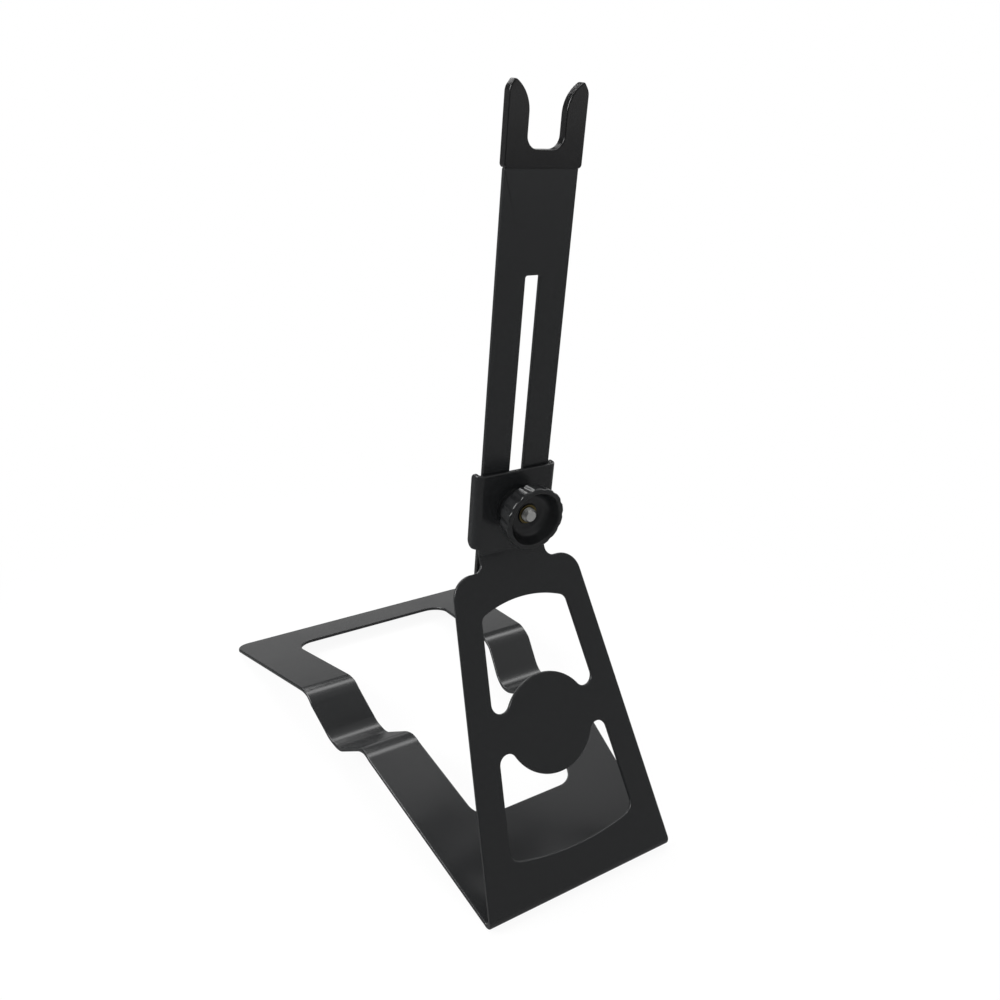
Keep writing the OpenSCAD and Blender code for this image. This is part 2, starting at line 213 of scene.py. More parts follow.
@dataclass(frozen=True)
class Finish:
    """A surface: what it is made of and how it was made."""

    name: str
    colour: str
    roughness: float
    metallic: float = 0.0

    def material(self) -> Material:
        """Builds the material of this finish.

        Returns:
            The finished material.
        """
        made = bpy.data.materials.new(self.name)
        made.use_nodes = True
        tree = made.node_tree
        tree.nodes.clear()
        shader = add_node(tree, "ShaderNodeBsdfPrincipled", values={
            "Base Color": linear(self.colour), "Roughness": self.roughness, "Metallic": self.metallic})
        add_node(tree, "ShaderNodeOutputMaterial", links={"Surface": shader.outputs["BSDF"]})
        place = add_node(tree, "ShaderNodeTexCoord").outputs["Object"]
        self.dress(tree, shader, place)
        made.diffuse_color = linear(self.colour)
        return made

    def dress(self, tree: Tree, shader: Node, place: Socket) -> None:
        """Adds the grain, relief and wear of the surface.

        Args:
            tree: The material's tree.
            shader: Its Principled shader.
            place: Object coordinates, in metres.
        """

    def vary_colour(self, tree: Tree, shader: Node, fac: Socket, low: str, high: str) -> None:
        """Runs the base colour from low to high along a pattern from 0 to 1."""
        mix = add_node(tree, "ShaderNodeMix", {"data_type": "RGBA"},
                       {6: linear(low), 7: linear(high)}, {0: fac})
        tree.links.new(mix.outputs[2], shader.inputs["Base Color"])

    def vary_roughness(self, tree: Tree, shader: Node, fac: Socket, spread: float) -> None:
        """Runs the roughness a little above and below its value along a pattern.

        Args:
            tree: The material's tree.
            shader: Its Principled shader.
            fac: The pattern, from 0 to 1.
            spread: The greatest change either way.
        """
        ends = {3: self.roughness - spread, 4: self.roughness + spread}
        span = add_node(tree, "ShaderNodeMapRange", values=ends, links={0: fac})
        tree.links.new(span.outputs[0], shader.inputs["Roughness"])


@dataclass(frozen=True)
class PowderCoat(Finish):
    """Satin black polyester powder coat on steel sheet, sprayed and baked."""

    grain: float = 0.55 * MM
    grain_depth: float = 0.03 * MM
    flow: float = 6 * MM
    flow_depth: float = 0.12 * MM
    patch: float = 35 * MM
    dark: str = "#151617"
    pale: str = "#1e1f20"

    def dress(self, tree: Tree, shader: Node, place: Socket) -> None:
        """Adds orange peel, the slow flow of the baked coat and a faint change of sheen."""
        # The orange peel breaks the reflections into the soft satin grain of a baked powder
        peel = noise(tree, place, self.grain, roughness=0.6)
        # The slow flow lets long highlights swim a little, as they do on a real coat
        flow = noise(tree, place, self.flow, detail=2.0)
        grained = relief(tree, peel, 0.30, self.grain_depth)
        tree.links.new(relief(tree, flow, 0.25, self.flow_depth, grained), shader.inputs["Normal"])
        # Handling leaves broad, very faint patches that shine a little more or less
        self.vary_roughness(tree, shader, noise(tree, place, self.patch), 0.05)
        self.vary_colour(tree, shader, peel, self.dark, self.pale)


@dataclass(frozen=True)
class GlossPlastic(Finish):
    """Glossy black ABS, injection moulded in a polished tool."""

    sink: float = 9 * MM
    sink_depth: float = 0.10 * MM
    rub: float = 0.5 * MM
    rub_stretch: float = 0.12
    dark: str = "#0b0b0c"
    pale: str = "#111112"

    def dress(self, tree: Tree, shader: Node, place: Socket) -> None:
        """Adds the slow sinks of the moulding and fine rub marks from the axles."""
        # Sinks over the hollow inside bend the reflections slightly
        sink = noise(tree, place, self.sink, detail=1.0)
        tree.links.new(relief(tree, sink, 0.2, self.sink_depth), shader.inputs["Normal"])
        # Hair-fine rubs dull the gloss in streaks along the notch
        stretched = add_node(tree, "ShaderNodeMapping", values={"Scale": (1.0, self.rub_stretch, 1.0)},
                             links={"Vector": place})
        rub = noise(tree, stretched.outputs["Vector"], self.rub, detail=4.0)
        self.vary_roughness(tree, shader, rub, 0.06)
        self.vary_colour(tree, shader, sink, self.dark, self.pale)


@dataclass(frozen=True)
class SatinPlastic(Finish):
    """Satin black glass-filled polyamide, moulded in a spark-eroded tool."""

    spark: float = 0.35 * MM
    spark_depth: float = 0.02 * MM
    cloud: float = 4 * MM
    dark: str = "#121314"
    pale: str = "#1b1c1d"

    def dress(self, tree: Tree, shader: Node, place: Socket) -> None:
        """Adds the even pebble of the eroded tool and its slight mottling."""
        # The pebble spreads each highlight on the lobes into a soft satin patch
        pebble = add_node(tree, "ShaderNodeTexVoronoi", {"feature": "SMOOTH_F1"},
                          {"Scale": 1 / self.spark}, {"Vector": place})
        pebbled = relief(tree, pebble.outputs["Distance"], 0.25, self.spark_depth)
        tree.links.new(pebbled, shader.inputs["Normal"])
        # The glass in the plastic leaves dull and shiny clouds
        cloud = noise(tree, place, self.cloud)
        self.vary_roughness(tree, shader, cloud, 0.05)
        self.vary_colour(tree, shader, cloud, self.dark, self.pale)


@dataclass(frozen=True)
class TurnedMetal(Finish):
    """Metal cut or rolled round the bolt's axis, with or without a plated layer."""

    feed: float = 0.25 * MM
    feed_depth: float = 0.01 * MM
    cloud: float = 2.5 * MM
    centre: Triple = (0.0, 0.0, 0.0)
    dull: str = "#8f9396"

    def dress(self, tree: Tree, shader: Node, place: Socket) -> None:
        """Adds rings round the axis and cloudy patches of the plating or tarnish."""
        # The rings catch the light as fine circles round the middle of the bolt's end
        moved = add_node(tree, "ShaderNodeMapping", {"vector_type": "POINT"},
                         {"Location": tuple(-c for c in self.centre)}, {"Vector": place})
        rings = add_node(tree, "ShaderNodeTexWave", {"wave_type": "RINGS", "rings_direction": "Y"},
                         {"Scale": WAVE_PERIOD / self.feed, "Distortion": 1.5, "Detail": 2.0},
                         {"Vector": moved.outputs[0]})
        ringed = relief(tree, rings.outputs["Fac"], 0.2, self.feed_depth)
        tree.links.new(ringed, shader.inputs["Normal"])
        # Plating and tarnish leave clouds that are duller and darker; on the brass insert both colours are
        # also darkened as painted shade
        cloud = noise(tree, place, self.cloud, detail=4.0)
        self.vary_roughness(tree, shader, cloud, 0.08)
        self.vary_colour(tree, shader, cloud, self.dull, self.colour)


# --- mesh work


def new_object(name: str, mesh: bpy.types.Mesh) -> Piece:
    """Puts a mesh into the scene as an object at the origin.

    Args:
        name: The piece's name.
        mesh: Its mesh, in place, in metres.

    Returns:
        The new object.
    """
    made = bpy.data.objects.new(name, mesh)
    bpy.context.scene.collection.objects.link(made)
    return made


def applied(piece: Piece) -> Piece:
    """Turns a piece with modifiers into a plain mesh piece.

    Args:
        piece: The piece with its modifiers.

    Returns:
        The same object, with the result as its mesh and no modifiers.
    """
    bpy.context.view_layer.update()
    result = bpy.data.meshes.new_from_object(piece.evaluated_get(bpy.context.evaluated_depsgraph_get()))
    piece.modifiers.clear()
    piece.data = result
    return piece


def paint(piece: Piece, material: Material) -> None:
    """Gives a piece one material."""
    piece.data.materials.clear()
    piece.data.materials.append(material)


@dataclass(frozen=True)
class EdgeRound:
    """The rounding that cutting, coating or moulding leaves on an edge."""

    radius: float
    steps: int = 3
    angle: float = math.radians(30)

    def apply_to(self, piece: Piece) -> Piece:
        """Rounds the edges of a piece.

        Args:
            piece: A piece with a merged mesh.

        Returns:
            The same piece with round edges.
        """
        bevel = piece.modifiers.new("edges", "BEVEL")
        bevel.width = self.radius
        bevel.segments = self.steps
        bevel.limit_method = "ANGLE"
        bevel.angle_limit = self.angle
        bevel.use_clamp_overlap = False
        bevel.miter_outer = "MITER_ARC"
        return level_faces(applied(piece))


def level_faces(piece: Piece) -> Piece:
    """Makes flat faces shade flat right up to their round edges.

    Args:
        piece: A smooth piece with small faces along its edges.

    Returns:
        The same piece, with its normals ruled by its large faces.
    """
    ruled = piece.modifiers.new("normals", "WEIGHTED_NORMAL")
    ruled.mode = "FACE_AREA"
    ruled.weight = 100
    ruled.thresh = 0.01
    return applied(piece)


def as_piece(work: Work, name: str) -> Piece:
    """Smooths a worked mesh and makes it a piece.

    Args:
        work: The mesh, which is freed here.
        name: The piece's name.

    Returns:
        The new piece.
    """
    for face in work.faces:
        face.smooth = True
    mesh = bpy.data.meshes.new(name)
    work.to_mesh(mesh)
    work.free()
    return new_object(name, mesh)


@contextmanager
def opened(piece: Piece) -> Iterator[Work]:
    """Opens a piece's mesh for changes and writes them back.

    Args:
        piece: The piece.

    Yields:
        Its mesh, ready to be changed.
    """
    work = bmesh.new()
    work.from_mesh(piece.data)
    yield work
    work.to_mesh(piece.data)
    work.free()


def merged_copy(source: Piece, name: str, tolerance: float = 0.03 * MM) -> Piece:
    """Copies a CAD node into a new piece whose flat faces and smooth bends are whole.

    Args:
        source: The CAD node's object.
        name: Name of the new piece.
        tolerance: Distance under which points are one.

    Returns:
        The new piece.
    """
    work = bmesh.new()
    work.from_mesh(source.data)
    bmesh.ops.remove_doubles(work, verts=work.verts, dist=tolerance)
    bmesh.ops.dissolve_degenerate(work, edges=work.edges, dist=tolerance / 2)
    bmesh.ops.dissolve_limit(work, angle_limit=FLAT, verts=work.verts, edges=work.edges)
    return as_piece(work, name)


def surface(rows: Sequence[Sequence[Vector]], closed: bool = False) -> Work:
    """Joins rows of points into one surface of four-sided faces.

    Args:
        rows: Rows of equally many points.
        closed: Whether each row runs round to its first point.

    Returns:
        The surface, which the caller frees.
    """
    work = bmesh.new()
    grid = [[work.verts.new(p) for p in row] for row in rows]
    for low, high in zip(grid, grid[1:]):
        for i in range(len(low) - (0 if closed else 1)):
            j = (i + 1) % len(low)
            work.faces.new((low[i], low[j], high[j], high[i]))
    return work


def finished(work: Work, name: str, tolerance: float = 0.002 * MM) -> Piece:
    """Merges, orients and smooths a surface and makes it a piece.

    Args:
        work: The surface, which is freed here.
        name: The piece's name.
        tolerance: Distance under which points are one.

    Returns:
        The new piece.
    """
    bmesh.ops.remove_doubles(work, verts=work.verts, dist=tolerance)
    bmesh.ops.dissolve_degenerate(work, edges=work.edges, dist=tolerance / 2)
    bmesh.ops.recalc_face_normals(work, faces=work.faces)
    return as_piece(work, name)


def joined(parts: Sequence[Piece], name: str) -> Piece:
    """Joins plain mesh pieces into one and removes them.

    Args:
        parts: The pieces, in place.
        name: Name of the new piece.

    Returns:
        The new piece.
    """
    work = bmesh.new()
    for part in parts:
        work.from_mesh(part.data)
        bpy.data.objects.remove(part)
    mesh = bpy.data.meshes.new(name)
    work.to_mesh(mesh)
    work.free()
    return new_object(name, mesh)


def limited(value: float) -> float:
    """Keeps a value between 0 and 1."""
    return min(1.0, max(0.0, value))


def eased(value: float) -> float:
    """Turns a straight rise from 0 to 1 into one with soft ends."""
    return value * value * (3 - 2 * value)


def fillet(points: Sequence[Point], radii: Sequence[float], steps: int) -> list[Point]:
    """Rounds the inner corners of an open outline.

    Args:
        points: The outline's corners.
        radii: A radius for each corner, 0 for sharp. The two ends stay as they are.
        steps: Number of straight runs in each round.

    Returns:
        The rounded outline.
    """
    line = [points[0]]
    for before, corner, after, radius in zip(points, points[1:], points[2:], radii[1:]):
        here = Vector(corner)
        u, v = (Vector(before) - here).normalized(), (Vector(after) - here).normalized()
        if radius == 0 or abs(u.dot(v)) > STRAIGHT:
            line.append(corner)
            continue
        half = u.angle(v) / 2
        reach = radius / math.tan(half)
        centre = here + (u + v).normalized() * radius / math.sin(half)
        start, end = here + u * reach - centre, here + v * reach - centre
        turn = start.angle_signed(end)
        for k in range(steps + 1):
            spoke = start.copy()
            spoke.rotate(Matrix.Rotation(-turn * k / steps, 2))
            line.append(tuple(centre + spoke))
    return line + [points[-1]]


@dataclass(frozen=True)
class BoltAxis:
    """The axis of bolt, washer and knob, which points forwards from the bracket's front face."""

    y: float
    z: float

    def point(self, radius: float, up: float, angle: float) -> Vector:
        """The point at a radius, a distance in front of the bracket and an angle from +X."""
        return Vector((radius * math.cos(angle), self.y - up, self.z + radius * math.sin(angle)))

    def turned(self, outline: Sequence[Point], steps: int) -> Work:
        """Turns an outline of radius and height round the axis, in this many steps."""
        angles = [2 * math.pi * i / steps for i in range(steps)]
        return surface([[self.point(r, up, a) for a in angles] for r, up in outline], closed=True)


# --- repeats


@dataclass(frozen=True)
class Repeat:
    """A Geometry Nodes tree that repeats a piece by equal turns and shifts and joins the copies."""

    material: Material
    joint: float = 0.004 * MM

    def tree(self) -> bpy.types.GeometryNodeTree:
        """Builds the tree.

        Returns:
            The tree, with inputs for the count, the turn, the shift and the joining distance.
        """
        tree = bpy.data.node_groups.new("repeat_by_steps", "GeometryNodeTree")
        inputs = {"Geometry": "Geometry", "Count": "Int", "Turn": "Vector", "Shift": "Vector",
                  "Joint": "Float"}
        for name, kind in inputs.items():
            tree.interface.new_socket(name, in_out="INPUT", socket_type=f"NodeSocket{kind}")
        tree.interface.new_socket("Geometry", in_out="OUTPUT", socket_type="NodeSocketGeometry")
        given = add_node(tree, "NodeGroupInput").outputs
        index = add_node(tree, "GeometryNodeInputIndex").outputs[0]
        shift, turn = (add_node(tree, "ShaderNodeVectorMath", {"operation": "SCALE"},
                                links={0: given[name], "Scale": index}) for name in ("Shift", "Turn"))
        points = add_node(tree, "GeometryNodePoints",
                          links={"Count": given["Count"], "Position": shift.outputs["Vector"]})
        copies = add_node(tree, "GeometryNodeInstanceOnPoints", links={
            "Points": points.outputs[0], "Instance": given["Geometry"], "Rotation": turn.outputs["Vector"]})
        real = add_node(tree, "GeometryNodeRealizeInstances", links={"Geometry": copies.outputs[0]})
        whole = add_node(tree, "GeometryNodeMergeByDistance",
                         links={"Geometry": real.outputs[0], "Distance": given["Joint"]})
        dressed = add_node(tree, "GeometryNodeSetMaterial", values={"Material": self.material},
                           links={"Geometry": whole.outputs[0]})
        add_node(tree, "NodeGroupOutput", links={0: dressed.outputs[0]})
        return tree

    def run(self, piece: Piece, count: int, turn: Sequence[float] = (0, 0, 0),
            shift: Sequence[float] = (0, 0, 0)) -> Piece:
        """Repeats a piece about the origin.

        Args:
            piece: One repeat, drawn about the origin.
            count: Number of copies.
            turn: Turn from one copy to the next, in radians.
            shift: Shift from one copy to the next, in metres.

        Returns:
            The same object with all copies as one plain mesh.
        """
        tree = self.tree()
        nodes = piece.modifiers.new("repeat", "NODES")
        nodes.node_group = tree
        given = {"Count": count, "Turn": tuple(turn), "Shift": tuple(shift), "Joint": self.joint}
        for item in tree.interface.items_tree:
            if item.in_out == "INPUT" and item.name in given:
                nodes[item.identifier] = given[item.name]
        return applied(piece)


# --- pieces


@dataclass(frozen=True)
class SoftBend:
    """One soft bend of the base, seen along X, and the wider radius that it has on the real sheet."""

    y: float
    z: float
    before: float
    after: float
    drawn_r: float = 9.0 * MM
    real_r: float = 17.0 * MM
    sheet: float = 2.5 * MM
    flare: float = 0.117

    def centre(self, radius: float) -> Vector:
        """Centre of a bend of this inner radius between the same two flats.

        Args:
            radius: The inner radius.

        Returns:
            Y and Z of the centre.
        """
        half = math.radians(self.after - self.before) / 2
        way = math.copysign(1.0, half)
        middle = math.radians(self.before) + half + way * math.pi / 2
        reach = (radius + self.sheet / 2) / math.cos(half)
        return Vector((self.y + reach * math.cos(middle), self.z + reach * math.sin(middle)))

    def widen(self, work: Work) -> None:
        """Moves the bend's points from the drawn radius to the real one.

        Args:
            work: The sheet.
        """
        old, new = self.centre(self.drawn_r), self.centre(self.real_r)
        grown = self.real_r - self.drawn_r
        toward = (Vector((self.y, self.z)) - old).normalized()
        half = abs(math.radians(self.after - self.before)) / 2 + PAST_BEND
        for vert in work.verts:
            spoke = Vector((vert.co.y, vert.co.z)) - old
            off = spoke.length - self.drawn_r - self.sheet / 2
            if abs(off) > self.sheet / 2 + ON_BEND or spoke.angle(toward) > half:
                continue
            moved = new + spoke.normalized() * (spoke.length + grown)
            vert.co.x += math.copysign(self.flare * (moved.x - vert.co.y), vert.co.x)
            vert.co.y, vert.co.z = moved


@dataclass(frozen=True)
class SoftShoulder:
    """The two shoulders of the leaning plate, and the wider radius that they really have."""

    corner: Point = (40.5 * MM, 178 * MM)
    side_slope: float = 0.1208
    foot: Point = (-149.865 * MM, 6.174 * MM)
    plate_angle: float = 59.0
    drawn_r: float = 10.0 * MM
    real_r: float = 13.0 * MM

    def widen(self, work: Work) -> None:
        """Moves the shoulders' points from the drawn radius to the real one.

        Args:
            work: The sheet.
        """
        corner, inward = Vector(self.corner), Vector((-1.0, 0.0))
        down = Vector((self.side_slope, -1.0)).normalized()
        half = down.angle(inward) / 2
        toward = -(down + inward).normalized()
        old = corner - toward * self.drawn_r / math.sin(half)
        new = corner - toward * self.real_r / math.sin(half)
        lean = math.radians(self.plate_angle)
        rise = Vector((math.cos(lean), math.sin(lean)))
        for vert in work.verts:
            up = (Vector((vert.co.y, vert.co.z)) - Vector(self.foot)).dot(rise)
            spoke = Vector((abs(vert.co.x), up)) - old
            past = spoke.angle(toward) > math.pi / 2 - half + PAST_BEND
            if past or abs(spoke.length - self.drawn_r) > ON_BEND:
                continue
            moved = new + spoke * self.real_r / self.drawn_r
            vert.co.x = math.copysign(moved.x, vert.co.x)
            vert.co.y += (moved.y - up) * rise.x
            vert.co.z += (moved.y - up) * rise.y


@dataclass
class CutAndTurned:
    """The pieces that start from their CAD shape and get their bends, edges and finish here."""

    frame: dict[str, object]
    coat: Material
    zinc: Material
    brass: Material
    sheet_edge: EdgeRound = EdgeRound(0.8 * MM, 4)
    bar_edge: EdgeRound = EdgeRound(0.5 * MM)
    pressed_edge: EdgeRound = EdgeRound(0.25 * MM, 2)
    bends: tuple[SoftBend | SoftShoulder, ...] = (
        SoftBend(-25.491 * MM, 31.466 * MM, 14, -35),
        SoftBend(7.521 * MM, 8.351 * MM, -35, 35),
        SoftBend(40.533 * MM, 31.466 * MM, 35, -15.2),
        SoftShoulder(),
    )

    def dress(self, node: str, name: str, edge: EdgeRound, material: Material,
              body: Body, slot: Slot, bends: Sequence[SoftBend | SoftShoulder] = ()) -> Piece:
        """Replaces a CAD node by a copy with round edges and its finish.

        Args:
            node: The CAD node.
            name: Name of the new piece.
            edge: The rounding of its edges.
            material: Its material.
            body: The body that it rides on.
            slot: Its slot in the record, not used.
            bends: Bends that are wider than drawn.

        Returns:
            The finished piece.
        """
        piece = merged_copy(self.frame["nodes"][node], name)
        with opened(piece) as work:
            for bend in bends:
                bend.widen(work)
        edge.apply_to(piece)
        paint(piece, material)
        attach(piece, body.value)
        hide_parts(node)
        return piece

    def build(self) -> list[Piece]:
        """Builds all of them.

        Returns:
            The pieces.
        """
        return [
            self.dress("stand_frame", "folded_sheet", self.sheet_edge, self.coat,
                       Body.FRAME, Slot.COAT, self.bends),
            self.dress("height_post", "slotted_post", self.bar_edge, self.coat, Body.POST, Slot.COAT),
            self.dress("knob_washer", "flat_washer", self.pressed_edge, self.zinc,
                       Body.WASHER, Slot.ZINC),
            self.dress("knob_insert", "threaded_insert", self.pressed_edge, self.brass,
                       Body.KNOB, Slot.BRASS),
        ]


@dataclass
class ForkCap:
    """The moulded sleeve on the forked post, with U notch, curved lead-in and rounded prongs."""

    low: Vector
    high: Vector
    material: Material
    notch: float = 10.3 * MM
    notch_up: float = 8.3 * MM
    notch_r: float = 6.0 * MM
    lead_r: float = 16.0 * MM
    lead_h: float = 14.0 * MM
    tip_drop: float = 3.8 * MM
    shoulder_r: float = 6.0 * MM
    point_r: float = 1.1 * MM
    point_up: float = 0.2 * MM
    corner_r: float = 2.0 * MM
    rim: float = 1.5 * MM
    wall: float = 1.15 * MM
    pocket_drop: float = 5 * MM
    lead_steps: int = 14
    corner_steps: int = 8
    edge: EdgeRound = EdgeRound(0.7 * MM, 4, math.radians(40))

    def outline(self, inset: float) -> list[Point]:
        """The outline seen from the front, from the lower edge round the right prong to the notch.

        Args:
            inset: Distance that every edge is drawn inwards, for the pocket inside.

        Returns:
            Closed outline, as X and the height above the lower edge.
        """
        half, tall = self.high.x - inset, self.high.z - self.low.z
        turn = Vector((self.notch + self.lead_r, tall - self.lead_h))
        lead = self.lead_r - inset
        tip_z = tall - self.tip_drop - inset if inset else tall + self.point_up
        tip = math.asin((tip_z - turn.y) / lead)
        angles = [tip * (1 - k / self.lead_steps) for k in range(self.lead_steps + 1)]
        lead_in = [(turn.x - lead * math.cos(a), turn.y + lead * math.sin(a)) for a in angles]
        shoulder = (half, tall - self.tip_drop - inset)
        floor = self.notch_up - inset
        # The pocket runs out below the cap, where the post enters
        foot = (half, -self.pocket_drop if inset else 0.0)
        right = [(0.0, foot[1]), foot, shoulder] + lead_in + [(turn.x - lead, floor), (0.0, floor)]
        outer = [0.0, 0.0, 0.0] if inset else [self.corner_r, self.shoulder_r, self.point_r]
        radii = [0.0] + outer + [0.0] * self.lead_steps + [self.notch_r - inset, 0.0]
        rounded = fillet(right, radii, self.corner_steps)
        return rounded[1:] + [(-x, z) for x, z in reversed(rounded[1:-1])]

    def block(self, outline: Sequence[Point], front: float, back: float, name: str) -> Piece:
        """Draws an outline out along Y.

        Args:
            outline: Closed outline, as X and height.
            front: Y of its front face.
            back: Y of its back face.
            name: Name of the object.

        Returns:
            The closed block.
        """
        rows = [[Vector((x, y, self.low.z + z)) for x, z in outline] for y in (front, back)]
        work = surface(rows, closed=True)
        work.verts.ensure_lookup_table()
        count = len(outline)
        work.faces.new(work.verts[:count])
        work.faces.new(work.verts[count:2 * count])
        return finished(work, name)

    def build(self) -> Piece:
        """Builds the cap in its place.

        Returns:
            The finished piece.
        """
        cap = self.block(self.outline(0.0), self.low.y, self.high.y, "moulded_fork_cap")
        self.edge.apply_to(cap)
        pocket = self.block(self.outline(self.rim), self.low.y + self.wall, self.high.y - self.wall,
                            "pocket")
        cut = cap.modifiers.new("pocket", "BOOLEAN")
        cut.operation = "DIFFERENCE"
        cut.solver = "EXACT"
        cut.object = pocket
        applied(cap)
        bpy.data.objects.remove(pocket)
        level_faces(cap)
        paint(cap, self.material)
        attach(cap, Body.POST.value)
        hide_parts("fork_cap")
        return cap


@dataclass
class ClampKnob:
    """The cup-shaped knob, whose outer wall has a ring of soft lobes for the fingers."""

    axis: BoltAxis
    material: Material
    back: float
    lobes: int = 14
    outer_r: float = 18.0 * MM
    height: float = 17.6 * MM
    boss_r: float = 12.0 * MM
    boss_h: float = 5.0 * MM
    draft: float = 1.2 * MM
    rim: float = 3.0 * MM
    floor_h: float = 9.0 * MM
    floor_r: float = 12.0 * MM
    bore_r: float = 5.5 * MM
    foot_r: float = 0.8 * MM
    boss_top_r: float = 1.5 * MM
    back_r: float = 1.8 * MM
    lip_r: float = 1.2 * MM
    cup_r: float = 5.0 * MM
    corner_steps: int = 6
    longest_run: float = 1.2 * MM
    lobe_steps: int = 20
    flute_depth: float = 0.8 * MM
    flute_share: float = 0.5
    hollow_share: float = 0.35
    flute_gap: float = 0.3 * MM
    flute_start: float = 1.6 * MM
    lip_fade: float = 0.5
    lip_run: float = 3.0 * MM
    plain_lip: float = 1.5 * MM
    plain_wall: float = 0.2 * MM

    def outline(self) -> list[Point]:
        """The half section, from the bore at the back round the wall to the cup's floor.

        Returns:
            Points of radius and height, in metres.
        """
        inner, wall = self.outer_r - self.rim, self.outer_r - self.draft
        corners = {
            (self.bore_r, 0.0): 0, (self.boss_r, 0.0): self.foot_r,
            (self.boss_r + self.draft / 2, self.boss_h): self.boss_top_r,
            (wall, self.boss_h + 2 * self.draft): self.back_r,
            (self.outer_r, self.height): self.lip_r, (inner, self.height): self.lip_r,
            (self.floor_r, self.floor_h): self.cup_r, (self.bore_r, self.floor_h): 0,
        }
        rounded = fillet(list(corners), list(corners.values()), self.corner_steps)
        return self.divided(rounded + [(self.bore_r, 0.0)])

    def divided(self, line: Sequence[Point]) -> list[Point]:
        """Adds points to the long straight runs, so that the flutes fade evenly.

        Args:
            line: The outline.

        Returns:
            The outline with only short runs.
        """
        result = [line[0]]
        for a, b in zip(line, line[1:]):
            parts = max(1, math.ceil(math.dist(a, b) / self.longest_run))
            result += [(a[0] + (b[0] - a[0]) * k / parts, a[1] + (b[1] - a[1]) * k / parts)
                       for k in range(1, parts + 1)]
        return result

    def flute(self, angle: float, radius: float, up: float) -> float:
        """How far a flute draws the wall in.

        Args:
            angle: Angle from the middle of a flute, in radians.
            radius: Radius of the plain wall there.
            up: Height of the wall there.

        Returns:
            The depth, in metres.
        """
        pitch = 2 * math.pi / self.lobes
        across = min(1.0, abs(angle) / (pitch * self.flute_share / 2))
        hollow, wave = math.sqrt(max(0.0, 1 - across ** 2)), 0.5 + 0.5 * math.cos(math.pi * across)
        dip = self.hollow_share * hollow + (1 - self.hollow_share) * wave
        inner = self.outer_r - self.rim
        # The cup's inner wall and the boss stay round
        if up < self.height - self.plain_lip and radius < inner + self.plain_wall:
            return 0.0
        outward = limited((radius - inner + self.flute_gap) / (self.rim - self.draft))
        raised = limited((up - self.boss_h - self.flute_gap) / self.flute_start)
        # The flutes run out towards the lip, whose outline is nearly round
        raised *= 1 - self.lip_fade * limited((up - self.height + self.lip_run) / self.lip_run)
        return self.flute_depth * dip * eased(outward) * raised

    def sector(self) -> Piece:
        """One lobe with half a flute on each side, drawn about the origin.

        Returns:
            The sector as an object.
        """
        middle = BoltAxis(0.0, 0.0)
        pitch = 2 * math.pi / self.lobes
        angles = [pitch * k / self.lobe_steps for k in range(self.lobe_steps + 1)]
        rows = [[middle.point(r - self.flute(min(a, pitch - a), r, up), up, a) for a in angles]
                for r, up in self.outline()]
        return finished(surface(rows), "cup_knob")

    def build(self) -> Piece:
        """Builds the knob in its place.

        Returns:
            The finished piece.
        """
        turn = (0, 2 * math.pi / self.lobes, 0)
        knob = Repeat(self.material).run(self.sector(), self.lobes, turn=turn)
        knob.data.transform(Matrix.Translation((0, self.axis.y - self.back, self.axis.z)))
        with opened(knob) as work:
            bmesh.ops.recalc_face_normals(work, faces=work.faces)
        knob.data.shade_smooth()
        paint(knob, self.material)
        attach(knob, Body.KNOB.value)
        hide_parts("clamp_knob")
        return knob


